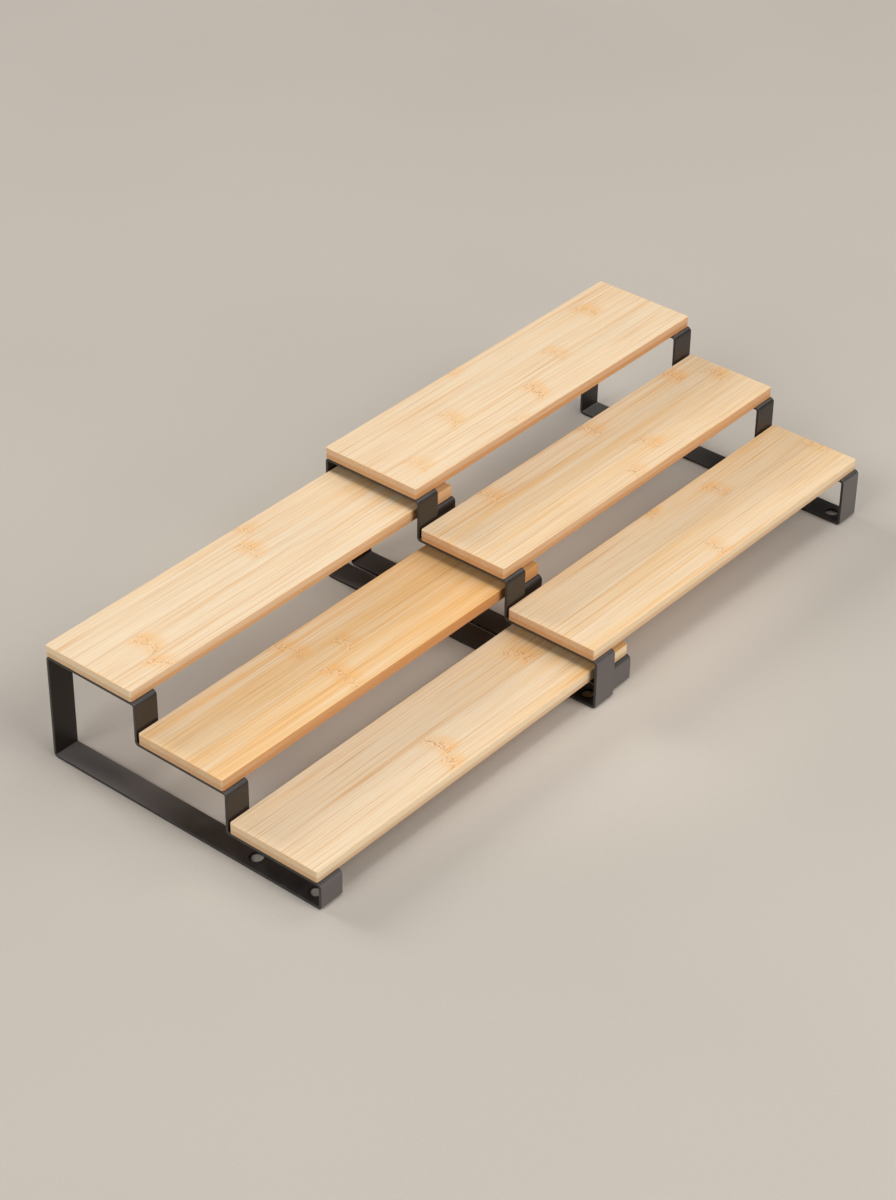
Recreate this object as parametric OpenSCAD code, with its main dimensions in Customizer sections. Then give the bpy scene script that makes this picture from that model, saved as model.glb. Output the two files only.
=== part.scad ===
// Expandable three-tier shelf riser: two stepped units that nest and slide.
// Each unit is three bamboo shelves screwed to two closed frames of bent flat steel.
// X runs along the shelves, Y from the front edge to the back, Z up from the floor.
// The origin is on the floor, in the middle of the box round both units.

/* [Shelves] */
// Length of every shelf board
shelf_length = 300; // [220:5:420]
// Thickness of every shelf board
shelf_thick = 8.2; // [6:0.1:14]
// Distance from the front edge of one shelf to the front edge of the next
tread_pitch = 74.5; // [62:0.5:110]
// Depth of the lower unit's top shelf
top_depth = 73.5; // [62:0.5:120]
// Radius of the boards' corners, seen from above
corner_r = 2; // [0.5:0.5:6]
// Free space between a board's back edge and the bend of the riser behind it
edge_play = 0.2; // [0.1:0.1:2]

/* [Frames] */
// Width of the flat steel strip
strip_w = 19; // [14:0.5:30]
// Thickness of the flat steel strip
strip_t = 2; // [1:0.1:3]
// Inside radius of every bend in the strip
bend_in = 1; // [0.5:0.1:2]
// Height of the lower unit's front tread above the floor
front_height = 19.5; // [16:0.5:60]
// Step in height from one tread to the next
rise = 29.3; // [22:0.1:60]
// How far a riser's front face stands in front of its shelf's front edge
riser_proud = 3; // [2:0.1:4]

/* [Sliding fit] */
// Gap between a lower frame's riser and the upper frame's riser in front of or behind it
side_play = 0.8; // [0.3:0.1:3]
// Gap between the top of a lower shelf and the upper tread that passes over it
head_room = 7.5; // [4:0.1:20]
// Gap between the two neighbouring frames in the middle, as the riser stands
park_gap = 2.5; // [1:0.5:100]

/* [Screws] */
// Diameter of the screws' shanks
screw_d = 3; // [2:0.5:4]
// Diameter of the screws' pan heads
head_d = 7; // [5:0.5:8]
// Height of the screws' pan heads
head_h = 2.2; // [1.5:0.1:3]
// Wood left above the tip of each screw
screw_skin = 2.2; // [1:0.1:4]
// Distance from a shelf's front edge to its first screw
screw_front = 10; // [8:0.5:14]
// Distance from a shelf's back edge to its second screw
screw_back = 12.3; // [8:0.1:16]
// Diameter of the screwdriver holes in the bottom strip
access_d = 9; // [8.5:0.5:12]
// Difference between a screw hole in the strip and the shank
hole_play = 0.6; // [0.2:0.1:1]
// Difference between a pilot hole in the wood and the shank
pilot_play = 0.1; // [0.1:0.1:0.3]
// Width of each slot of the cross in a screw head
slot_w = 0.9; // [0.6:0.1:1.2]
// Depth of the cross in a screw head
slot_deep = 1.1; // [0.6:0.1:1.3]

/* [Hidden] */
bamboo = [0.91, 0.78, 0.58];
black_coat = [0.13, 0.12, 0.12];
bright_zinc = [0.62, 0.62, 0.64];
round_faces = 64;
slack = 1;                                    // how far a cutter runs past what it cuts
bend_mid = bend_in + strip_t / 2;             // radius of a bend's middle line
nest = strip_t + side_play;                   // how far the upper risers stand outside the lower ones
lift = shelf_thick + head_room + strip_t;     // how far the upper treads stand above the lower ones
park = shelf_length - 2 * strip_w - park_gap; // how far along X the upper unit stands
home_x = (shelf_length + park) / 2;           // middle of both units, from the lower unit's left end
home_y = tread_pitch + (top_depth - riser_proud) / 2;
shelf_depth = tread_pitch - riser_proud - bend_in - edge_play;
screw_bite = shelf_thick - screw_skin;
front = 0;
middle = 1;
top = 2;
lower = 0;
upper = 1;

// Where a unit's shelves start along X and Y, and how high its front tread is.
function unit_x(unit) = unit * park - home_x;
function unit_y(unit) = -unit * nest - home_y;
function tread_z(unit, tier) = front_height + unit * lift + tier * rise;
function tread_y(unit, tier) = unit_y(unit) + tier * tread_pitch;
function depth_of(unit, tier) = tier == top ? top_depth + unit * 2 * nest : shelf_depth;
function frame_x(unit, right) = unit_x(unit) + (right ? shelf_length - strip_w : 0);
function screw_ys(unit, tier) = [
    tread_y(unit, tier) + screw_front,
    tread_y(unit, tier) + depth_of(unit, tier) - screw_back
];

// The corners of a frame's middle line, as [y, z], from the front bottom corner up the
// stairs, down the back and along the floor.
function stair_corners(unit) = let (
    floor_z = strip_t / 2,
    back_y = tread_y(unit, top) + depth_of(unit, top) - strip_t / 2,
    riser_y = [for (k = [front:top]) tread_y(unit, k) - riser_proud + strip_t / 2],
    level_z = [for (k = [front:top]) tread_z(unit, k) - strip_t / 2]
) concat(
    [[riser_y[front], floor_z]],
    [for (k = [front:top], up = [true, false])
        up ? [riser_y[k], level_z[k]] : [k < top ? riser_y[k + 1] : back_y, level_z[k]]],
    [[back_y, floor_z]]
);

function unit_vector(from, to) = (to - from) / norm(to - from);

// Angle of the quarter turn whose outside points along [y, z].
function quadrant(out) = out[0] > 0 ? (out[1] > 0 ? 0 : 270) : (out[1] > 0 ? 90 : 180);

// A box of steel strip between two corners of the middle line, short of both bends.
module straight(from, to) {
    along = unit_vector(from, to);
    low = [min(from[0], to[0]), min(from[1], to[1])];
    span = [abs(to[0] - from[0]), abs(to[1] - from[1])];
    inset = [abs(along[0]) * bend_mid - abs(along[1]) * strip_t / 2,
             abs(along[1]) * bend_mid - abs(along[0]) * strip_t / 2];
    translate([0, low[0] + inset[0], low[1] + inset[1]])
        cube([strip_w, span[0] - 2 * inset[0], span[1] - 2 * inset[1]]);
}

// A quarter turn of the strip, round an axis along X.
module bend(before, corner, after) {
    came = unit_vector(before, corner);
    goes = unit_vector(corner, after);
    centre = corner + bend_mid * (goes - came);
    translate([0, centre[0], centre[1]])
        rotate([90, 0, 90])
            rotate([0, 0, quadrant(came - goes)])
                rotate_extrude(angle = 90, $fn = round_faces)
                    translate([bend_in, 0])
                        square([strip_t, strip_w]);
}

module stair_loop(unit) {
    corners = stair_corners(unit);
    count = len(corners);
    for (i = [0:count - 1]) {
        before = corners[(i + count - 1) % count];
        corner = corners[i];
        after = corners[(i + 1) % count];
        straight(corner, after);
        bend(before, corner, after);
    }
}

module frame(unit, right) {
    strip_mid = strip_w / 2;
    color(black_coat)
        translate([frame_x(unit, right), 0, 0])
            difference() {
                stair_loop(unit);
                for (k = [front:top], y = screw_ys(unit, k))
                    translate([strip_mid, y, tread_z(unit, k) - strip_t - slack])
                        cylinder(d = screw_d + hole_play, h = strip_t + 2 * slack, $fn = round_faces);
                for (y = screw_ys(unit, front))
                    translate([strip_mid, y, -slack])
                        cylinder(d = access_d, h = strip_t + 2 * slack, $fn = round_faces);
            }
}

module rounded_board(depth) {
    translate([corner_r, 0, 0])
        cube([shelf_length - 2 * corner_r, depth, shelf_thick]);
    translate([0, corner_r, 0])
        cube([shelf_length, depth - 2 * corner_r, shelf_thick]);
    for (x = [corner_r, shelf_length - corner_r], y = [corner_r, depth - corner_r])
        translate([x, y, 0])
            cylinder(r = corner_r, h = shelf_thick, $fn = round_faces);
}

module shelf(unit, tier) {
    color(bamboo)
        difference() {
            translate([unit_x(unit), tread_y(unit, tier), tread_z(unit, tier)])
                rounded_board(depth_of(unit, tier));
            for (right = [false, true], y = screw_ys(unit, tier))
                translate([frame_x(unit, right) + strip_w / 2, y, tread_z(unit, tier) - slack])
                    cylinder(d = screw_d + pilot_play, h = screw_bite + pilot_play + slack, $fn = round_faces);
        }
}

// One screw, head down, with the top face of its head at the origin.
module pan_screw() {
    difference() {
        union() {
            translate([0, 0, -head_h])
                cylinder(d = head_d, h = head_h, $fn = round_faces);
            cylinder(d = screw_d, h = strip_t + screw_bite, $fn = round_faces);
        }
        for (turn = [0, 90])
            rotate([0, 0, turn])
                translate([-head_d * 0.3, -slot_w / 2, -head_h - slack])
                    cube([head_d * 0.6, slot_w, slot_deep + slack]);
    }
}

module screws(unit, tier, right) {
    color(bright_zinc)
        for (y = screw_ys(unit, tier))
            translate([frame_x(unit, right) + strip_w / 2, y, tread_z(unit, tier) - strip_t])
                pan_screw();
}

module lower_front_shelf() { shelf(lower, front); }
module lower_middle_shelf() { shelf(lower, middle); }
module lower_top_shelf() { shelf(lower, top); }
module lower_left_frame() { frame(lower, false); }
module lower_right_frame() { frame(lower, true); }
module lower_front_left_screws() { screws(lower, front, false); }
module lower_front_right_screws() { screws(lower, front, true); }
module lower_middle_left_screws() { screws(lower, middle, false); }
module lower_middle_right_screws() { screws(lower, middle, true); }
module lower_top_left_screws() { screws(lower, top, false); }
module lower_top_right_screws() { screws(lower, top, true); }
module upper_front_shelf() { shelf(upper, front); }
module upper_middle_shelf() { shelf(upper, middle); }
module upper_top_shelf() { shelf(upper, top); }
module upper_left_frame() { frame(upper, false); }
module upper_right_frame() { frame(upper, true); }
module upper_front_left_screws() { screws(upper, front, false); }
module upper_front_right_screws() { screws(upper, front, true); }
module upper_middle_left_screws() { screws(upper, middle, false); }
module upper_middle_right_screws() { screws(upper, middle, true); }
module upper_top_left_screws() { screws(upper, top, false); }
module upper_top_right_screws() { screws(upper, top, true); }

lower_front_shelf();
lower_middle_shelf();
lower_top_shelf();
lower_left_frame();
lower_right_frame();
lower_front_left_screws();
lower_front_right_screws();
lower_middle_left_screws();
lower_middle_right_screws();
lower_top_left_screws();
lower_top_right_screws();
upper_front_shelf();
upper_middle_shelf();
upper_top_shelf();
upper_left_frame();
upper_right_frame();
upper_front_left_screws();
upper_front_right_screws();
upper_middle_left_screws();
upper_middle_right_screws();
upper_top_left_screws();
upper_top_right_screws();
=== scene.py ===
import math
from functools import partial

import bmesh
import bpy
from mathutils import Matrix, Vector


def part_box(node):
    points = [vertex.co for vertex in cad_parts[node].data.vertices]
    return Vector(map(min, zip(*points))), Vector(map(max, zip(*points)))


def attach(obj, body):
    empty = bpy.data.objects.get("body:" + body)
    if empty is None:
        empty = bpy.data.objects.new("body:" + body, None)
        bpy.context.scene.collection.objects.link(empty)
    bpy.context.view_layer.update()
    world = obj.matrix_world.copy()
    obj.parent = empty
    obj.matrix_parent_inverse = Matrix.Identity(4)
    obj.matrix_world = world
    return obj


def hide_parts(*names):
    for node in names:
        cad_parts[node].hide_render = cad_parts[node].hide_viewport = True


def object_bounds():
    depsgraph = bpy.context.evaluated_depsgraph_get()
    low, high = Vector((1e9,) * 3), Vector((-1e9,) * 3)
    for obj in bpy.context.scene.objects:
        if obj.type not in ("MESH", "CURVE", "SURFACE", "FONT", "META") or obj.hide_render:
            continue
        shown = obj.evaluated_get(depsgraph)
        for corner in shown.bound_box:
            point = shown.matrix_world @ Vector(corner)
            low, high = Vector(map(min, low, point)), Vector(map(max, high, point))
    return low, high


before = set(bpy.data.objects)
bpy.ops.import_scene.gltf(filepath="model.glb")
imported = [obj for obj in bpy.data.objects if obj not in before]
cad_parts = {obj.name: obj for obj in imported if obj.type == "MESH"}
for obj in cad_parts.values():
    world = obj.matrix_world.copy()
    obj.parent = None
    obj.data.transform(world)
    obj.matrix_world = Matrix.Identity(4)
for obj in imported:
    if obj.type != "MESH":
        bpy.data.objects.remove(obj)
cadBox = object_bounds()
mm = 0.001
tierNames = ("front", "middle", "top")
unitNames = ("lower", "upper")
print("riser: frame loaded")


class Wire:
    # A socket that sums can be written with; a vector goes through Vector Math.
    def __init__(self, socket):
        self.socket = socket

    @classmethod
    def make(cls, tree, kind, settings=None, values=None, out=0):
        node = tree.nodes.new(kind)
        for name, value in (settings or {}).items():
            setattr(node, name, value)
        for key, value in (values or {}).items():
            if isinstance(value, Wire):
                tree.links.new(value.socket, node.inputs[key])
            else:
                node.inputs[key].default_value = value
        return cls(node.outputs[out]) if node.outputs else None

    def other(self, name):
        return Wire(self.socket.node.outputs[name])

    def reckon(self, operation, first, second=None):
        terms = [t for t in (first, second) if t is not None]
        vector = any(isinstance(t, Wire) and t.socket.type == "VECTOR" for t in terms)
        if vector:
            terms = [t if isinstance(t, (Wire, tuple)) else (t, t, t) for t in terms]
        kind = "ShaderNodeVectorMath" if vector else "ShaderNodeMath"
        return Wire.make(self.socket.id_data, kind, {"operation": operation}, dict(enumerate(terms)))

    def __add__(self, term):
        return self.reckon("ADD", self, term)

    def __radd__(self, term):
        return self.reckon("ADD", term, self)

    def __sub__(self, term):
        return self.reckon("SUBTRACT", self, term)

    def __rsub__(self, term):
        return self.reckon("SUBTRACT", term, self)

    def __mul__(self, term):
        return self.reckon("MULTIPLY", self, term)

    def __rmul__(self, term):
        return self.reckon("MULTIPLY", term, self)

    def __truediv__(self, term):
        return self.reckon("DIVIDE", self, term)

    def __pow__(self, term):
        return self.reckon("POWER", self, term)

    def __abs__(self):
        return self.reckon("ABSOLUTE", self)

    def floor(self):
        return self.reckon("FLOOR", self)

    def above(self, limit):
        return self.reckon("GREATER_THAN", self, limit)

    def below(self, limit):
        return self.reckon("LESS_THAN", self, limit)

    def least(self, term):
        return self.reckon("MINIMUM", self, term)

    def most(self, term):
        return self.reckon("MAXIMUM", self, term)

    def rising(self, low, high, start=0.0, end=1.0):
        # Goes softly from start at low to end at high.
        values = {"Value": self, "From Min": low, "From Max": high, "To Min": start, "To Max": end}
        settings = {"interpolation_type": "SMOOTHSTEP"}
        return Wire.make(self.socket.id_data, "ShaderNodeMapRange", settings, values)


def paint(red, green, blue):
    # A colour as seen on a screen, 0 to 255, as the linear one that shaders take.
    linear = [((c / 255 + 0.055) / 1.055) ** 2.4 if c > 10 else c / 255 / 12.92 for c in (red, green, blue)]
    return (*linear, 1.0)


def blend(make, factor, first, second, how="MIX"):
    settings = {"data_type": "RGBA", "blend_type": how}
    return make("ShaderNodeMix", settings, {0: factor, 6: first, 7: second}, out=2)


def startMaterial(name):
    material = bpy.data.materials.new(name)
    material.use_nodes = True
    tree = material.node_tree
    tree.nodes.clear()
    return material, partial(Wire.make, tree)


def endMaterial(make, values):
    surface = make("ShaderNodeBsdfPrincipled", None, values)
    make("ShaderNodeOutputMaterial", None, {"Surface": surface})


def millimetres(make, corner):
    # Object coordinates in millimetres, counted from one corner of the piece.
    place = make("ShaderNodeTexCoord", out="Object")
    settings = {"vector_type": "POINT"}
    shift = tuple(-c / mm for c in corner)
    scaled = make("ShaderNodeMapping", settings, {"Vector": place, "Location": shift, "Scale": (1 / mm,) * 3})
    return make("ShaderNodeSeparateXYZ", None, {0: scaled})


# Unless a note says otherwise, two numbers are the ends of a soft ramp, and where there are four
# the last two are the strengths it goes between.
bambooLook = {
    "pale": paint(218, 196, 165),
    "honey": paint(221, 188, 141),
    "warm": paint(220, 164, 95),
    "fibre": paint(193, 132, 62),
    "sheen": paint(225, 208, 182),
    "seam": paint(160, 102, 50),
    "knot": paint(158, 98, 44),
    "lowerPly": paint(212, 170, 128),
    # the next colour is painted shade warmed by bounce from the boards and the one after it painted light,
    # both for the sawn sides and ends
    "sideShade": paint(193, 122, 58),
    "sideLight": paint(242, 219, 182),
    "plySplit": 0.42,          # share of the board's thickness that the lower ply takes
    "plyBlur": 0.08,           # mm
    "plyGlue": (0.05, 0.35, 0.35, 0.0),     # mm from the glue line between the plies
    "plyBands": 0.7,           # how much bands and lines streak the lower ply
    "plyLines": 0.5,
    "plyStreaks": (0.35, 0.9),
    "plyStreakMost": 0.6,
    "seamHalf": 0.08,          # mm, with the blur outside it next
    "seamBlur": 0.30,
    "seamSpan": 60,            # mm along the board before a glue line fades in or out
    "seamShow": (0.42, 0.66, 0.06, 0.5),
    "grainLengths": (190, 260, 170, 60),    # mm along the board: tone, bands, lines, hairs
    "grainWidths": (10, 2.2, 0.75, 0.34),   # mm across it
    "grainDetails": (1.0, 2.0, 2.0, 1.0),
    "wander": 2.4,             # mm that fibres stray sideways
    "wanderSpan": (130, 40),   # mm along and across that a stray takes
    "stripChance": 0.2,        # how far one strip's tone is from the next
    "toneChance": 1.2,
    "driftAlong": (0.45, 1.0),      # shares of the length over which a board's tone drift comes in; on the lower boards it is painted warm shade towards the upper unit
    # painted warm shade on the lower boards beside the upper unit, coming in late along their length
    "driftLate": (0.80, 0.92),
    "driftLateShare": 0.8,
    "honeyShow": (0.0, 1.0),
    "warmShow": (0.35, 1.35),
    "warmMost": 0.8,
    "darkBands": (0.54, 0.78, 0.0, 0.32),
    "darkLines": (0.53, 0.72, 0.0, 0.66),
    "darkHairs": (0.5, 0.72, 0.0, 0.40),
    "lightBands": (0.5, 0.26, 0.0, 0.4),
    "lightLines": (0.46, 0.24, 0.0, 0.5),
    "sheenLoss": 0.7,          # sheen that a warm board lacks
    "knotLength": 5.0,         # mm along the grain
    "knotBow": 3.5,            # mm that its row bows
    "knotWidth": (0.8, 1.05),  # where it ends, in halves of its strip
    "knotCore": 0.35,          # share of its length at full strength
    "knotPush": 0.9,           # mm that it pushes fibres aside
    "pushReach": 2.2,          # in knot lengths, as the next
    "stainReach": 2.6,
    "stainShift": 2,           # mm
    "dashCells": (0.5, 1.05, 0.5),          # dashes per mm along, across and up
    "dashScatter": 0.9,
    "dashRagged": (0.3, 0.55, 0.6, 1.0),
    "dashEdge": (0.46, 0.14),
    "rimEdge": (0.46, 0.66),
    "stainShow": (0.85, 0.7),  # strength, and the most that it reaches, as the next two
    "dashShow": (0.9, 0.95),
    "rimShow": (0.28, 0.8),
    "sideLightShow": (0.45, 0.35),      # painted light on the lower ply, and what the upper adds
    "sideShadeShow": (0.75, 0.6),       # painted shade, plain, and how far the tone moves it
    "poreCells": (1.9, 1.1, 0.7),   # pores per mm across, up and along
    "poreShow": (0.45, 0.75, 0.04, 0.4),
    "wornEdge": (0.4, 1.2, 1.0, 0.0),       # mm from an edge
    "wornSpan": (14, 14, 6),        # mm that a patch takes along, across and up
    "wornShow": (0.4, 0.65, 0.08, 0.35),
    "relief": {"bands": 0.010, "lines": 0.010, "hairs": 0.004, "dash": 0.025, "rim": 0.006,
               "seam": 0.02, "pores": 0.03},
    "reliefStrength": 0.7,
    "roughness": 0.46,
    "rougher": {"lines": 0.16, "patches": 0.12, "ends": 0.18, "dash": 0.08},
    "ior": 1.46,
}

# Seams are counted from the back edge and knots from the left end, in mm; a knot's second
# number is its strip, with 0 at the back, its third how strong it is and its fourth its lean.
# Edge and end set the painted light and shade on the sawn sides and on the ends, from 0 for painted light to
# 1 for painted shade warmed by bounce from the boards.
# Drift warms the lower boards towards the upper unit as painted shade; on the upper boards it is a drift in
# tone.
boardStyles = {
    "lower_top": {"seed": 3, "warmth": 0.05, "drift": 0.42, "edge": 0.40, "end": 0.00,
                  "seams": (12.5, 34.5, 57.5),
                  "knots": [(42, 2, 1.0, 0), (33, 3, 0.8, 3), (158, 1, 0.9, 0), (172, 0, 0.6, 2)]},
    "lower_middle": {"seed": 11, "warmth": 0.64, "drift": 0.24, "edge": 0.80, "end": 0.25,
                     "seams": (10, 24.5, 40.5, 56),
                     "knots": [(121, 0, 1.0, 2), (124, 1, 0.9, -2), (152, 2, 1.0, 0), (125, 3, 1.0, 2),
                               (124, 4, 0.8, -1)]},
    "lower_front": {"seed": 23, "warmth": 0.14, "drift": 0.42, "edge": 0.04, "end": 0.10,
                    "seams": (14, 35.5, 57),
                    "knots": [(245, 1, 1.0, 3), (139, 2, 1.1, 2), (131, 3, 0.9, -2)]},
    "upper_top": {"seed": 37, "warmth": 0.14, "drift": 0.08, "edge": 0.72, "end": 0.35,
                  "seams": (8, 29, 50, 71),
                  "knots": [(130, 0, 0.6, 0), (259, 1, 0.8, 2), (83, 2, 0.7, -2), (197, 2, 0.6, 1),
                            (149, 3, 1.0, -3), (112, 4, 0.7, 3), (25, 3, 0.5, 0)]},
    "upper_middle": {"seed": 41, "warmth": 0.36, "drift": -0.10, "edge": 0.62, "end": 0.45,
                     "seams": (18, 39, 58),
                     "knots": [(62, 0, 1.0, 0), (171, 0, 1.0, 2), (267, 0, 1.0, 1), (289, 1, 0.8, 0),
                               (185, 2, 0.7, 2), (150, 3, 1.0, -1)]},
    "upper_front": {"seed": 59, "warmth": 0.36, "drift": 0.06, "edge": 0.08, "end": 0.45,
                    "seams": (8, 29, 50),
                    "knots": [(151, 0, 1.1, -1), (204, 1, 0.9, 3), (147, 3, 0.7, -2), (297, 2, 0.8, 1)]},
}


def knotFields(style, depth, along, across):
    # For all knots together: the dashed core, the stain round it, and how far it pushes the fibres.
    look = bambooLook
    reach = look["knotLength"]
    edges = (0, *style["seams"], depth)
    core = stain = push = 0.0
    for place, strip, strength, lean in style["knots"]:
        middle = (edges[strip] + edges[strip + 1]) / 2
        half = (edges[strip + 1] - edges[strip]) / 2
        side = (across - middle) / half
        inside = abs(side).rising(*look["knotWidth"], strength, 0.0)
        off = along - place + side * side * look["knotBow"] - side * lean
        core = core + abs(off).rising(reach * look["knotCore"], reach, 1.0, 0.0) * inside
        shifted = abs(off - look["stainShift"])
        stain = stain + shifted.rising(1, reach * look["stainReach"], 1.0, 0.0) * inside
        push = push + abs(off).rising(0, reach * look["pushReach"], 1.0, 0.0) * inside * side
    return core, stain, push


def bambooMaterial(board, low, high):
    style = boardStyles[board]
    look = bambooLook
    material, make = startMaterial("bamboo_" + board)
    along = millimetres(make, (low.x, low.y, low.z))
    length, depth, thick = ((high - low) / mm)[:]
    across = depth - along.other("Y")
    height = along.other("Z")
    split = thick * look["plySplit"]

    def noise(place, detail=1.0):
        vector = make("ShaderNodeCombineXYZ", None, place)
        return make("ShaderNodeTexNoise", {"noise_dimensions": "3D"},
                    {"Vector": vector, "Scale": 1.0, "Detail": detail, "Roughness": 0.6})

    def capped(mask, show):
        return (mask * show[0]).least(show[1])

    core, stain, push = knotFields(style, depth, along, across)
    spanAlong, spanAcross = look["wanderSpan"]
    wander = noise({0: along / spanAlong, 1: across / spanAcross, 2: style["seed"]})
    bent = across + push * look["knotPush"] + (wander - 0.5) * look["wander"]

    strip = 0.0
    nearSeam = 0.0
    seamEdge = look["seamHalf"] + look["seamBlur"]
    for seam in style["seams"]:
        strip = strip + across.above(seam)
        nearSeam = nearSeam + abs(across - seam).rising(look["seamHalf"], seamEdge, 1.0, 0.0)
    upper = height.rising(split - look["plyBlur"], split + look["plyBlur"])
    stripSeed = strip * 7.3 + upper * 31 + style["seed"]    # any steps that keep strips apart
    chance = make("ShaderNodeTexWhiteNoise", {"noise_dimensions": "1D"}, {"W": stripSeed})

    # fibres of four sizes, each drawn out along the board
    tone, bands, lines, hairs = (
        noise({0: along / size + width, 1: bent / width + stripSeed, 2: height / width + size}, detail)
        for size, width, detail in zip(look["grainLengths"], look["grainWidths"], look["grainDetails"]))
    amount = style["warmth"] + (chance - 0.5) * look["stripChance"] + (tone - 0.5) * look["toneChance"]
    # the drift is painted warm shade on the lower boards beside the upper unit, and a tone drift on the upper
    # boards
    amount = amount + (along / length).rising(*look["driftAlong"], 0.0, style["drift"])
    lateShadeAmount = look["driftLateShare"] * style["drift"]
    amount = amount + (along / length).rising(*look["driftLate"], 0.0, lateShadeAmount)
    colour = blend(make, amount.rising(*look["honeyShow"]), look["pale"], look["honey"])
    colour = blend(make, amount.rising(*look["warmShow"]) * look["warmMost"], colour, look["warm"])
    dark = bands.rising(*look["darkBands"]) + lines.rising(*look["darkLines"])
    dark = dark + hairs.rising(*look["darkHairs"])
    colour = blend(make, dark, colour, look["fibre"])
    light = bands.rising(*look["lightBands"]) + lines.rising(*look["lightLines"])
    colour = blend(make, light * (1 - look["sheenLoss"] * style["warmth"]), colour, look["sheen"])

    # knots: short dashes in bowed rows, and a warm stain beside them
    perAlong, perAcross, perUp = look["dashCells"]
    cells = {0: along * perAlong, 1: bent * perAcross, 2: height * perUp}
    dashes = make("ShaderNodeTexVoronoi", {"voronoi_dimensions": "3D", "feature": "F1"},
                  {"Vector": make("ShaderNodeCombineXYZ", None, cells), "Scale": 1.0,
                   "Randomness": look["dashScatter"]})
    ragged = hairs.rising(*look["dashRagged"])
    dash = dashes.rising(*look["dashEdge"]) * core * ragged
    rim = dashes.rising(*look["rimEdge"]) * core * ragged
    colour = blend(make, capped(stain * (tone + 0.1), look["stainShow"]), colour, look["warm"])
    colour = blend(make, capped(dash, look["dashShow"]), colour, look["knot"])
    colour = blend(make, capped(rim, look["rimShow"]), colour, look["sheen"])

    # glue lines between strips come and go along the board
    faint = noise({0: along / look["seamSpan"], 1: strip * 3.0})
    colour = blend(make, nearSeam * faint.rising(*look["seamShow"]), colour, look["seam"])

    # the lower ply and the glue line over it
    streaks = (bands * look["plyBands"] + lines * look["plyLines"]).rising(*look["plyStreaks"])
    lowerColour = blend(make, streaks * look["plyStreakMost"], look["lowerPly"], look["fibre"])
    colour = blend(make, upper, lowerColour, colour)
    glue = abs(height - split).rising(*look["plyGlue"])
    colour = blend(make, glue, colour, look["seam"])

    # on some boards painted shade warmed by bounce from the boards makes the sawn sides more amber than the
    # top, and on others painted light makes them paler; the ends show fibre bundles cut across
    normal = make("ShaderNodeSeparateXYZ", None, {0: make("ShaderNodeNewGeometry", out="Normal")})
    atEnd = abs(normal).rising(0.5, 0.8)
    aside = abs(normal.other("Z")).rising(0.8, 0.4)
    sideShading = style["edge"] + atEnd * (style["end"] - style["edge"])
    sideLightLower, sideLightUpper = look["sideLightShow"]
    colour = blend(make, aside * (1 - sideShading) ** 2 * (sideLightLower + upper * sideLightUpper), colour, look["sideLight"])
    sideShadePlain, sideShadeTone = look["sideShadeShow"]
    colour = blend(make, aside * sideShading * (sideShadePlain + (tone - 0.5) * sideShadeTone), colour, look["sideShade"])
    perAcross, perUp, perAlong = look["poreCells"]
    pores = noise({0: across * perAcross, 1: height * perUp, 2: along * perAlong}, 2.0)
    colour = blend(make, atEnd * pores.rising(*look["poreShow"]), colour, look["fibre"])

    # eased edges are handled the most: a little browner, in patches
    toEdge = along.least(length - along).least(across).least(depth - across)
    toFace = height.least(thick - height)
    worn = (toEdge + toFace).rising(*look["wornEdge"])
    spanAlong, spanAcross, spanUp = look["wornSpan"]
    patches = noise({0: along / spanAlong, 1: across / spanAcross, 2: height / spanUp}, 2.0)
    colour = blend(make, worn * patches.rising(*look["wornShow"]), colour, look["warm"])

    relief = look["relief"]
    ups = bands * relief["bands"] + lines * relief["lines"] + hairs * relief["hairs"]
    ups = ups - dash * relief["dash"] + rim * relief["rim"] - nearSeam * relief["seam"]
    ups = ups - atEnd * pores * relief["pores"]
    bump = make("ShaderNodeBump", None,
                {"Strength": look["reliefStrength"], "Distance": mm, "Height": ups})
    rougher = look["rougher"]
    rough = look["roughness"] + (lines - 0.5) * rougher["lines"] + (patches - 0.5) * rougher["patches"]
    rough = rough + atEnd * rougher["ends"] + dash * rougher["dash"]
    endMaterial(make, {"Base Color": colour, "Roughness": rough, "Normal": bump, "IOR": look["ior"]})
    return material


coatLook = {
    "black": paint(47, 44, 42),
    "grey": paint(70, 66, 63),
    "risers": paint(98, 91, 89),       # painted light and reflection make the front risers lighter than the other faces
    "shaded": paint(32, 20, 12),       # painted shade with a painted brown reflection of the boards, on the risers behind them
    "stripReflection": paint(104, 100, 97),      # painted reflection makes the floor strip lighter and greyer towards its back
    "riserMost": 0.8,          # how far a riser takes its painted light in front and its painted shade behind
    "riserAhead": 1.1 * mm,    # front risers lie further than this before the front board
    "stripReflectionMost": 0.9,
    "stripReflectionFrom": (-0.01, 0.06),        # metres along Y
    "floorUnder": 5 * mm,
    "roughness": 0.36,
    "peel": 0.9,               # mm between the coat's soft waves
    "grit": 0.16,              # mm between its grains
    "dust": 14,                # mm between its dull patches
    "dustShow": (0.45, 0.75, 0.0, 0.5),
    "gritShow": (0.62, 0.8, 0.0, 0.5),
    "peelRelief": 0.012,
    "gritRelief": 0.006,
    "reliefStrength": 0.8,
    "dustRough": 0.16,
    "gritRough": 0.1,
    "ior": 1.5,
}


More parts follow.
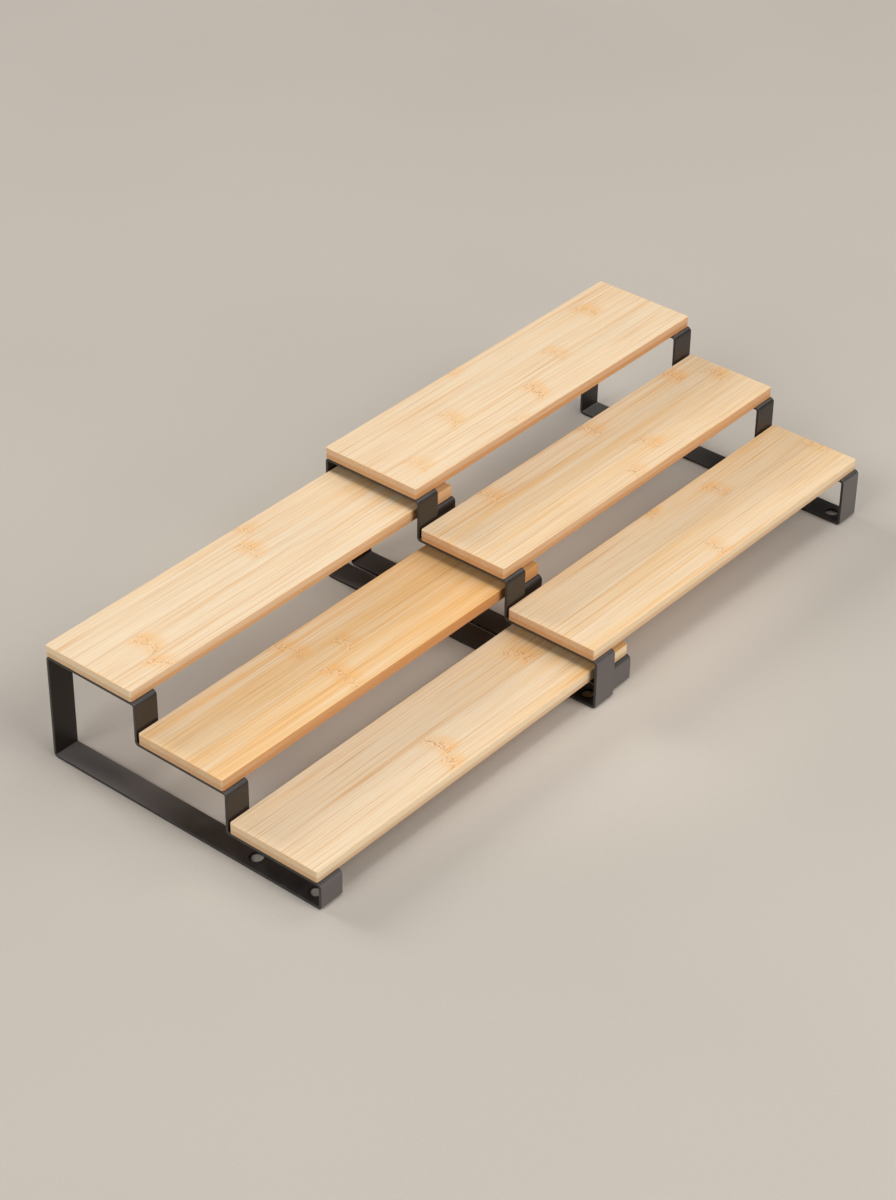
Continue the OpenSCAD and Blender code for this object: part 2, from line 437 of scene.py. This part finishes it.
def coatMaterial():
    look = coatLook
    material, make = startMaterial("black_coat_satin")
    place = make("ShaderNodeTexCoord", out="Object")

    def speckle(size, detail):
        return make("ShaderNodeTexNoise", {"noise_dimensions": "3D"},
                    {"Vector": place, "Scale": 1 / (size * mm), "Detail": detail, "Roughness": 0.55})

    peel = speckle(look["peel"], 1.0)
    grit = speckle(look["grit"], 0.0)
    dust = speckle(look["dust"], 3.0)
    colour = blend(make, dust.rising(*look["dustShow"]), look["black"], look["grey"])
    colour = blend(make, grit.rising(*look["gritShow"]), colour, look["grey"])
    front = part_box("lower_front_shelf")[0].y - look["riserAhead"]
    spot = make("ShaderNodeSeparateXYZ", None, {0: place})
    ahead = spot.other("Y").below(front)
    normal = make("ShaderNodeSeparateXYZ", None, {0: make("ShaderNodeNewGeometry", out="Normal")})
    facing = normal.other("Y").rising(-0.6, -0.95)
    # painted light and reflection on the front risers; painted shade with a brown reflection of the boards on
    # the risers behind them
    colour = blend(make, ahead * facing * look["riserMost"], colour, look["risers"])
    colour = blend(make, (1 - ahead) * facing * look["riserMost"], colour, look["shaded"])
    # painted reflection: the floor strip turns lighter and greyer towards its back
    onFloor = normal.other("Z").rising(0.6, 0.95) * spot.other("Z").below(look["floorUnder"])
    towardsBack = spot.other("Y").rising(*look["stripReflectionFrom"])
    colour = blend(make, onFloor * towardsBack * look["stripReflectionMost"], colour, look["stripReflection"])
    ups = peel * look["peelRelief"] + grit * look["gritRelief"]
    bump = make("ShaderNodeBump", None,
                {"Strength": look["reliefStrength"], "Distance": mm, "Height": ups})
    rough = look["roughness"] + (dust - 0.5) * look["dustRough"] + (grit - 0.5) * look["gritRough"]
    endMaterial(make, {"Base Color": colour, "Roughness": rough, "Normal": bump, "IOR": look["ior"]})
    return material


screwLook = {
    "plate": paint(176, 176, 180),
    "shade": paint(96, 95, 97),
    "roughness": 0.32,
    "turnedRough": 0.3,
    "turnedScale": (900.0, 900.0, 6000.0),      # per metre; finest along the screw
    "filmScale": 700.0,
    "filmShow": (0.4, 0.7, 0.0, 0.7),
    "relief": 0.01,
    "reliefStrength": 0.4,
}


def screwMaterial():
    look = screwLook
    material, make = startMaterial("screw_zinc")
    place = make("ShaderNodeTexCoord", out="Object")
    turned = make("ShaderNodeTexNoise", {"noise_dimensions": "3D"},
                  {"Vector": place * look["turnedScale"], "Scale": 1.0, "Detail": 2.0})
    film = make("ShaderNodeTexNoise", {"noise_dimensions": "3D"},
                {"Vector": place, "Scale": look["filmScale"], "Detail": 3.0})
    colour = blend(make, film.rising(*look["filmShow"]), look["plate"], look["shade"])
    rough = look["roughness"] + (turned - 0.5) * look["turnedRough"]
    ups = turned * look["relief"]
    bump = make("ShaderNodeBump", None,
                {"Strength": look["reliefStrength"], "Distance": mm, "Height": ups})
    endMaterial(make, {"Base Color": colour, "Roughness": rough, "Metallic": 1.0, "Normal": bump})
    return material


def startTree(name, inputs):
    tree = bpy.data.node_groups.new(name, "GeometryNodeTree")
    for label, value in inputs.items():
        kind = "NodeSocketInt" if isinstance(value, int) else "NodeSocketFloat"
        socket = tree.interface.new_socket(label, in_out="INPUT", socket_type=kind)
        socket.default_value = value
    tree.interface.new_socket("Geometry", in_out="OUTPUT", socket_type="NodeSocketGeometry")
    entry = Wire.make(tree, "NodeGroupInput")
    return tree, partial(Wire.make, tree), {label: entry.other(label) for label in inputs}


def endTree(make, shape, material, smoothUnder):
    # Flat faces stay flat: only edges under the angle are shaded across.
    smooth = make("GeometryNodeSetShadeSmooth", {"domain": "FACE"}, {"Geometry": shape, "Shade Smooth": True})
    angle = make("GeometryNodeInputMeshEdgeAngle")
    sharp = angle.above(math.radians(smoothUnder))
    creased = make("GeometryNodeSetShadeSmooth", {"domain": "EDGE"},
                   {"Geometry": smooth, "Selection": sharp, "Shade Smooth": False})
    whole = make("GeometryNodeRealizeInstances", None, {"Geometry": creased})
    done = make("GeometryNodeSetMaterial", None, {"Geometry": whole, "Material": material})
    make("NodeGroupOutput", None, {0: done})


def grow(name, tree, inputs):
    host = bpy.data.objects.new(name, bpy.data.meshes.new(name))
    bpy.context.scene.collection.objects.link(host)
    modifier = host.modifiers.new("grow", "NODES")
    modifier.node_group = tree
    for item in tree.interface.items_tree:
        if item.in_out == "INPUT":
            modifier[item.identifier] = inputs[item.name]
    ready = host.evaluated_get(bpy.context.evaluated_depsgraph_get())
    grown = bpy.data.meshes.new_from_object(ready)
    host.modifiers.clear()
    host.data = grown
    grown.name = name
    return host


def combine(make, x, y, z):
    return make("ShaderNodeCombineXYZ", None, {0: x, 1: y, 2: z})


def drillPoints(make, given, level):
    # Two screw places on every tread: one behind its front edge, one before its back edge.
    index = make("GeometryNodeInputIndex")
    tier = (index / 2).floor()
    second = index - tier * 2
    onTop = tier.above(given["Treads"] - 1.5)
    depth = given["Tread depth"] + onTop * (given["Top depth"] - given["Tread depth"])
    reach = given["Screw front"] + second * (depth - given["Screw front"] - given["Screw back"])
    y = given["Tread front"] + tier * given["Pitch"] + reach
    return y, level + tier * given["Rise"]


frameLook = {
    "thick": 2.0 * mm,
    "bendInside": 1.0 * mm,
    "edgeRound": 0.35 * mm,
    "bendSteps": 10,
    "roundSteps": 3,
    "screwHole": 1.8 * mm,     # radius
    "accessHole": 4.5 * mm,
    "holeEase": 0.8,           # a hole's rim, as a share of the strip's rounding
    "holeLevels": 41,
    "holeSides": 36,
    "smoothUnder": 14,         # degrees between faces that are shaded as one
}

frameInputs = {
    "Treads": 3, "Pitch": 0.07, "Rise": 0.03, "Front": 0.0, "Back": 0.2, "Level": 0.02, "Floor": 0.001,
    "Middle": 0.0, "Width": 0.018, "Thickness": 0.002, "Bend radius": 0.002, "Edge round": 0.0003,
    "Tread front": 0.0, "Tread depth": 0.07, "Top depth": 0.07, "Screw front": 0.01, "Screw back": 0.01,
    "Screw hole": 0.002, "Access hole": 0.004,
}


def drill(make, given, radius):
    # A cutter that flares at both faces of the strip, so the hole gets a soft rim.
    half = given["Thickness"] / 2
    ease = given["Edge round"] * frameLook["holeEase"]
    line = make("GeometryNodeCurvePrimitiveLine", {"mode": "POINTS"},
                {"Start": combine(make, 0.0, 0.0, half * -2), "End": combine(make, 0.0, 0.0, half * 2)})
    fine = make("GeometryNodeResampleCurve", None, {"Curve": line, "Count": frameLook["holeLevels"]})
    spot = make("GeometryNodeInputPosition")
    height = abs(make("ShaderNodeSeparateXYZ", None, {0: spot}).other("Z"))
    share = ((height - half + ease) / ease).most(0.0).least(1.0)
    flare = ease * (1 - (1 - share * share) ** 0.5)
    ring = make("GeometryNodeCurvePrimitiveCircle", {"mode": "RADIUS"},
                {"Resolution": frameLook["holeSides"], "Radius": 1.0})
    return make("GeometryNodeCurveToMesh", None,
                {"Curve": fine, "Profile Curve": ring, "Scale": radius + flare, "Fill Caps": True})


def frameTree(coat):
    tree, make, given = startTree("stripFrame", frameInputs)
    count = given["Treads"] * 2
    index = make("GeometryNodeInputIndex")
    atBack = index.above(count - 0.5)
    onFloor = index.below(0.5) + index.above(count + 0.5)
    y = (given["Front"] + (index / 2).floor() * given["Pitch"]) * (1 - atBack) + given["Back"] * atBack
    raised = given["Level"] + ((index - 1) / 2).floor() * given["Rise"]
    z = raised * (1 - onFloor) + given["Floor"] * onFloor
    corners = make("GeometryNodeMeshLine", None, {"Count": count + 2})
    stairs = make("GeometryNodeSetPosition", None,
                  {"Geometry": corners, "Position": combine(make, given["Middle"], y, z)})
    path = make("GeometryNodeMeshToCurve", None, {"Mesh": stairs})
    loop = make("GeometryNodeSetSplineCyclic", None, {"Geometry": path, "Cyclic": True})
    bent = make("GeometryNodeFilletCurve", {"mode": "POLY"},
                {"Curve": loop, "Count": frameLook["bendSteps"], "Radius": given["Bend radius"]})
    turned = make("GeometryNodeSetCurveNormal", {"mode": "FREE"}, {"Curve": bent, "Normal": (1.0, 0.0, 0.0)})
    flat = make("GeometryNodeCurvePrimitiveQuadrilateral", {"mode": "RECTANGLE"},
                {"Width": given["Width"], "Height": given["Thickness"]})
    section = make("GeometryNodeFilletCurve", {"mode": "POLY"},
                   {"Curve": flat, "Count": frameLook["roundSteps"], "Radius": given["Edge round"]})
    strip = make("GeometryNodeCurveToMesh", None, {"Curve": turned, "Profile Curve": section})

    y, z = drillPoints(make, given, given["Level"])
    places = make("GeometryNodePoints", None,
                  {"Count": count, "Position": combine(make, given["Middle"], y, z)})
    screwHoles = make("GeometryNodeInstanceOnPoints", None,
                      {"Points": places, "Instance": drill(make, given, given["Screw hole"])})
    y = drillPoints(make, given, given["Floor"])[0]
    below = make("GeometryNodePoints", None,
                 {"Count": 2, "Position": combine(make, given["Middle"], y, given["Floor"])})
    accessHoles = make("GeometryNodeInstanceOnPoints", None,
                       {"Points": below, "Instance": drill(make, given, given["Access hole"])})
    cut = make("GeometryNodeMeshBoolean", {"operation": "DIFFERENCE", "solver": "MANIFOLD"},
               {"Mesh 1": strip})
    for holes in (screwHoles, accessHoles):
        solid = make("GeometryNodeRealizeInstances", None, {"Geometry": holes})
        tree.links.new(solid.socket, cut.socket.node.inputs["Mesh 2"])
    endTree(make, cut, coat, frameLook["smoothUnder"])
    return tree


def frameSizes(unit, side):
    low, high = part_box(f"{unit}_{side}_frame")
    shelves = [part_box(f"{unit}_{tier}_shelf") for tier in tierNames]
    screwLow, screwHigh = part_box(f"{unit}_front_{side}_screws")
    headRadius = (screwHigh.x - screwLow.x) / 2
    half = frameLook["thick"] / 2
    sizes = {
        "Treads": len(tierNames),
        "Pitch": shelves[1][0].y - shelves[0][0].y,
        "Rise": shelves[1][0].z - shelves[0][0].z,
        "Front": low.y + half,
        "Back": high.y - half,
        "Level": shelves[0][0].z - half,
        "Floor": low.z + half,
        "Middle": (low.x + high.x) / 2,
        "Width": high.x - low.x,
        "Thickness": frameLook["thick"],
        "Bend radius": frameLook["bendInside"] + half,
        "Edge round": frameLook["edgeRound"],
        "Tread front": shelves[0][0].y,
        "Tread depth": shelves[0][1].y - shelves[0][0].y,
        "Top depth": shelves[2][1].y - shelves[2][0].y,
        "Screw front": screwLow.y + headRadius - shelves[0][0].y,
        "Screw back": shelves[0][1].y - screwHigh.y + headRadius,
        "Screw hole": frameLook["screwHole"],
        "Access hole": frameLook["accessHole"],
    }
    return sizes


screwShape = {
    "headRim": 0.7 * mm,       # straight side of the head before it domes
    "shank": 1.5 * mm,         # radius
    "thread": 0.28 * mm,
    "threadPitch": 1.1 * mm,
    "headRings": 16,
    "shankRings": 45,
    "slotWidth": 0.9 * mm,
    "slotDepth": 1.1 * mm,
    "slotSpan": 4.2 * mm,
    "sides": 28,
    "domeFullness": 0.62,      # under 1 gives the dome fuller shoulders
    "tipFrom": 0.84,           # share of the shank's length where the tip starts
    "tipRadius": 0.25,         # share of the shank's radius left at its end
    "spinMost": 3.1,           # radians that a slot may be turned by
    "spinSeed": 5,
    "weld": 0.005 * mm,
    "smoothUnder": 30,
}

screwInputs = {
    "Treads": 3, "Pitch": 0.07, "Rise": 0.03, "Tread front": 0.0, "Tread depth": 0.07, "Top depth": 0.07,
    "Screw front": 0.01, "Screw back": 0.01, "Left": 0.0, "Right": 0.1, "Seat": 0.02,
    "Head radius": 0.0035, "Head height": 0.0022, "Shank length": 0.008,
}


def screwTree(zinc):
    tree, make, given = startTree("panScrews", screwInputs)
    shape = screwShape
    ring = make("GeometryNodeCurvePrimitiveCircle", {"mode": "RADIUS"},
                {"Resolution": shape["sides"], "Radius": 1.0})
    line = make("GeometryNodeCurvePrimitiveLine", {"mode": "POINTS"}, {"End": (0.0, 0.0, 1.0)})
    index = make("GeometryNodeInputIndex")

    def turn(count, height, radius):
        fine = make("GeometryNodeResampleCurve", None, {"Curve": line, "Count": count})
        placed = make("GeometryNodeSetPosition", None,
                      {"Geometry": fine, "Position": combine(make, 0.0, 0.0, height)})
        turned = make("GeometryNodeCurveToMesh", None,
                      {"Curve": placed, "Profile Curve": ring, "Scale": radius, "Fill Caps": True})
        return make("GeometryNodeMergeByDistance", None, {"Geometry": turned, "Distance": shape["weld"]})

    # the head: a short straight rim, then a dome that closes at the tip
    share = index / (shape["headRings"] - 1)
    angle = share * (math.pi / 2)
    dome = (given["Head height"] - shape["headRim"]) * angle.reckon("SINE", angle)
    rim = share.above(0.0) * shape["headRim"]
    bulge = angle.reckon("COSINE", angle).most(0.0) ** shape["domeFullness"]
    head = turn(shape["headRings"], (dome + rim) * -1, given["Head radius"] * bulge)
    # the shank goes up into the wood; stacked rings stand for its thread
    share = index / (shape["shankRings"] - 1)
    turns = share * given["Shank length"] / shape["threadPitch"]
    ridge = abs(turns.reckon("FRACT", turns) - 0.5) * 2
    narrowing = share.rising(shape["tipFrom"], 1.0, 1.0, shape["tipRadius"])
    radius = (shape["shank"] - ridge * shape["thread"]) * narrowing
    shank = turn(shape["shankRings"], share * given["Shank length"], radius)
    cut = make("GeometryNodeMeshBoolean", {"operation": "DIFFERENCE", "solver": "MANIFOLD"},
               {"Mesh 1": head})
    for size in ((shape["slotSpan"], shape["slotWidth"]), (shape["slotWidth"], shape["slotSpan"])):
        bar = make("GeometryNodeMeshCube", None, {"Size": (*size, shape["slotDepth"] * 2)})
        sunk = make("GeometryNodeTransform", None,
                    {"Geometry": bar, "Translation": combine(make, 0.0, 0.0, given["Head height"] * -1)})
        tree.links.new(sunk.socket, cut.socket.node.inputs["Mesh 2"])
    both = make("GeometryNodeJoinGeometry", None, {0: cut})
    tree.links.new(shank.socket, both.socket.node.inputs[0])

    columns = []
    for label in ("Left", "Right"):
        y, z = drillPoints(make, given, given["Seat"])
        spots = make("GeometryNodePoints", None,
                     {"Count": given["Treads"] * 2, "Position": combine(make, given[label], y, z)})
        spin = make("FunctionNodeRandomValue", {"data_type": "FLOAT"},
                    {2: 0.0, 3: shape["spinMost"], "Seed": shape["spinSeed"]}, out=1)
        columns.append(make("GeometryNodeInstanceOnPoints", None,
                            {"Points": spots, "Instance": both, "Rotation": combine(make, 0.0, 0.0, spin)}))
    joined = make("GeometryNodeJoinGeometry", None, {0: columns[0]})
    tree.links.new(columns[1].socket, joined.socket.node.inputs[0])
    whole = make("GeometryNodeRealizeInstances", None, {"Geometry": joined})
    welded = make("GeometryNodeMergeByDistance", None, {"Geometry": whole, "Distance": 0.01 * mm})
    endTree(make, welded, zinc, shape["smoothUnder"])
    return tree


def screwSizes(unit):
    left = frameSizes(unit, "left")
    right = frameSizes(unit, "right")
    low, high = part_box(f"{unit}_front_left_screws")
    seat = left["Level"] - left["Thickness"] / 2
    sizes = {name: left[name] for name in screwInputs if name in left}
    sizes["Left"] = left["Middle"]
    sizes["Right"] = right["Middle"]
    sizes["Seat"] = seat
    sizes["Head radius"] = (high.x - low.x) / 2
    sizes["Head height"] = seat - low.z
    sizes["Shank length"] = high.z - seat
    return sizes


shelfShape = {
    "corner": 1.6 * mm,
    "ease": 0.3 * mm,
    "cornerSteps": 6,
    "easeSteps": 4,
    "smoothUnder": 24,         # degrees between faces that are shaded as one
}


def roundedOutline(low, high, radius, steps):
    points = []
    centres = [(high.x - radius, high.y - radius, 0), (low.x + radius, high.y - radius, 1),
               (low.x + radius, low.y + radius, 2), (high.x - radius, low.y + radius, 3)]
    for x, y, quarter in centres:
        for step in range(steps + 1):
            angle = math.pi / 2 * (quarter + step / steps)
            points.append((x + radius * math.cos(angle), y + radius * math.sin(angle)))
    return points


def makeShelf(name, low, high):
    shape = shelfShape
    ease = shape["ease"]
    mesh = bmesh.new()
    rings = []
    turns = [math.pi / 2 * step / shape["easeSteps"] for step in range(shape["easeSteps"] + 1)]
    levels = [(ease * (1 - math.sin(a)), low.z + ease * (1 - math.cos(a))) for a in turns]
    levels += [(ease * (1 - math.cos(a)), high.z - ease * (1 - math.sin(a))) for a in turns]
    for inset, z in levels:
        inner = Vector((inset, inset, 0))
        outline = roundedOutline(low + inner, high - inner, shape["corner"] - inset, shape["cornerSteps"])
        rings.append([mesh.verts.new((x, y, z)) for x, y in outline])
    for lower, upper in zip(rings, rings[1:]):
        for i in range(len(lower)):
            j = (i + 1) % len(lower)
            mesh.faces.new((lower[i], lower[j], upper[j], upper[i]))
    mesh.faces.new(rings[0][::-1])
    mesh.faces.new(rings[-1])
    bmesh.ops.recalc_face_normals(mesh, faces=mesh.faces)
    for face in mesh.faces:
        face.smooth = True
    for edge in mesh.edges:
        edge.smooth = edge.calc_face_angle() < math.radians(shape["smoothUnder"])
    data = bpy.data.meshes.new(name)
    mesh.to_mesh(data)
    mesh.free()
    shelf = bpy.data.objects.new(name, data)
    bpy.context.scene.collection.objects.link(shelf)
    return shelf


studio = {
    "floorSize": 12.0,
    # the floor is lighter and a little warmer near the riser than farther out: painted light that lifts the
    # soft shade the riser casts round itself, with a painted warm bounce from the boards
    "floorNear": paint(194, 184, 171),
    "floorFar": paint(174, 166, 156),
    "floorFleck": (0.95, 0.95, 0.95, 1.0),
    "fadeFrom": 0.09,          # metres from the riser's middle
    "fadeTo": 0.29,
    "cloudScale": 3.0,         # per metre, as the next
    "toothScale": 420.0,
    "cloudShare": 0.6,
    "toothShare": 0.4,
    "fleckRange": (0.3, 0.7),
    "toothRelief": 0.05,
    "reliefStrength": 0.15,
    "roughness": 0.75,
    "air": (1.0, 0.97, 0.93),
    "airStrength": 0.02,
    "lamps": {                 # azimuth and elevation of each lamp from the riser, degrees
        "overhead": {"azimuth": 0, "elevation": 86, "away": 6.0, "size": 1.5, "power": 68},
        "frontHigh": {"azimuth": 0, "elevation": 52, "away": 6.0, "size": 3.0, "power": 134},
        "frontLow": {"azimuth": 10, "elevation": 35, "away": 3.0, "size": 2.0, "power": 39},
        "rear": {"azimuth": 184, "elevation": 29, "away": 6.0, "size": 3.0, "power": 230},
        "left": {"azimuth": -92, "elevation": 38, "away": 6.0, "size": 3.0, "power": 160},
        "right": {"azimuth": 80, "elevation": 50, "away": 2.8, "size": 1.6, "power": 13},
    },
}

cameraSetup = {
    "lookAt": (-0.0428, -0.0104, 0.05),
    "distance": 1.8974,
    "azimuth": -50.426,
    "elevation": 35.211,
    "roll": 0.721,
    "lens": 87.99,
}


def compass(azimuth, elevation):
    # Unit vector from the riser towards a viewer or lamp; azimuth 0 is straight in front.
    turn = math.radians(azimuth)
    lift = math.radians(elevation)
    return Vector((math.sin(turn) * math.cos(lift), -math.cos(turn) * math.cos(lift), math.sin(lift)))


def floorMaterial():
    material, make = startMaterial("studio_floor")
    place = make("ShaderNodeTexCoord", out="Object")
    cloud = make("ShaderNodeTexNoise", {"noise_dimensions": "3D"},
                 {"Vector": place, "Scale": studio["cloudScale"], "Detail": 2.0})
    tooth = make("ShaderNodeTexNoise", {"noise_dimensions": "3D"},
                 {"Vector": place, "Scale": studio["toothScale"], "Detail": 1.0})
    away = make("ShaderNodeVectorMath", {"operation": "LENGTH"}, {0: place}, out=1)
    # painted light: lighter and warmer near the riser, against the shade it casts on the floor
    fade = away.rising(studio["fadeFrom"], studio["fadeTo"])
    colour = blend(make, fade, studio["floorNear"], studio["floorFar"])
    fleck = cloud.rising(*studio["fleckRange"]) * studio["cloudShare"]
    fleck = fleck + tooth.rising(*studio["fleckRange"]) * studio["toothShare"]
    colour = blend(make, fleck, colour, studio["floorFleck"], "MULTIPLY")
    ups = tooth * studio["toothRelief"]
    bump = make("ShaderNodeBump", None,
                {"Strength": studio["reliefStrength"], "Distance": mm, "Height": ups})
    endMaterial(make, {"Base Color": colour, "Roughness": studio["roughness"], "Normal": bump})
    return material


def makeFloor():
    half = studio["floorSize"] / 2
    drop = cadBox[0].z - 0.1 * mm
    corners = [(-half, -half, drop), (half, -half, drop), (half, half, drop), (-half, half, drop)]
    data = bpy.data.meshes.new("floor")
    data.from_pydata(corners, [], [(0, 1, 2, 3)])
    data.materials.append(floorMaterial())
    floor = bpy.data.objects.new("floor", data)
    bpy.context.scene.collection.objects.link(floor)


def lightStudio():
    scene = bpy.context.scene
    scene.view_settings.view_transform = "Standard"
    world = bpy.data.worlds.new("studio")
    world.use_nodes = True
    sky = world.node_tree.nodes["Background"]
    sky.inputs["Color"].default_value = (*studio["air"], 1.0)
    sky.inputs["Strength"].default_value = studio["airStrength"]
    scene.world = world
    for name, lamp in studio["lamps"].items():
        data = bpy.data.lights.new(name, "AREA")
        data.shape = "DISK"
        data.size = lamp["size"]
        data.energy = lamp["power"]
        holder = bpy.data.objects.new(name, data)
        out = compass(lamp["azimuth"], lamp["elevation"])
        holder.location = out * lamp["away"]
        holder.rotation_mode = "QUATERNION"
        holder.rotation_quaternion = (-out).to_track_quat("-Z", "Y")
        scene.collection.objects.link(holder)


def placeCamera():
    setup = cameraSetup
    back = compass(setup["azimuth"], setup["elevation"])
    turn = math.radians(setup["azimuth"])
    right = Vector((math.cos(turn), math.sin(turn), 0))
    up = back.cross(right)
    tilt = math.radians(setup["roll"])
    across = right * math.cos(tilt) + up * math.sin(tilt)
    upward = up * math.cos(tilt) - right * math.sin(tilt)
    data = bpy.data.cameras.new("camera")
    data.lens = setup["lens"]
    data.clip_end = 50
    camera = bpy.data.objects.new("camera", data)
    turnMatrix = Matrix((across, upward, back)).transposed().to_4x4()
    camera.matrix_world = Matrix.Translation(Vector(setup["lookAt"]) + back * setup["distance"]) @ turnMatrix
    bpy.context.scene.collection.objects.link(camera)
    bpy.context.scene.camera = camera


placeCamera()
lightStudio()
makeFloor()
print("riser: camera, lights and floor set")

coat = coatMaterial()
zinc = screwMaterial()
stairs = frameTree(coat)
fixings = screwTree(zinc)
for unit in unitNames:
    body = unit + "_unit"
    for side in ("left", "right"):
        strip = grow(f"{unit}{side.capitalize()}Frame", stairs, frameSizes(unit, side))
        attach(strip, body)
        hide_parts(f"{unit}_{side}_frame")
    screws = grow(f"{unit}Screws", fixings, screwSizes(unit))
    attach(screws, body)
    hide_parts(*[f"{unit}_{tier}_{side}_screws" for tier in tierNames for side in ("left", "right")])
    print(f"riser: {unit} frames bent and screws turned")
    for tier in tierNames:
        low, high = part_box(f"{unit}_{tier}_shelf")
        shelf = makeShelf(f"{unit}{tier.capitalize()}Shelf", low, high)
        shelf.data.materials.append(bambooMaterial(f"{unit}_{tier}", low, high))
        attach(shelf, body)
        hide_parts(f"{unit}_{tier}_shelf")
    print(f"riser: {unit} shelves cut and finished")
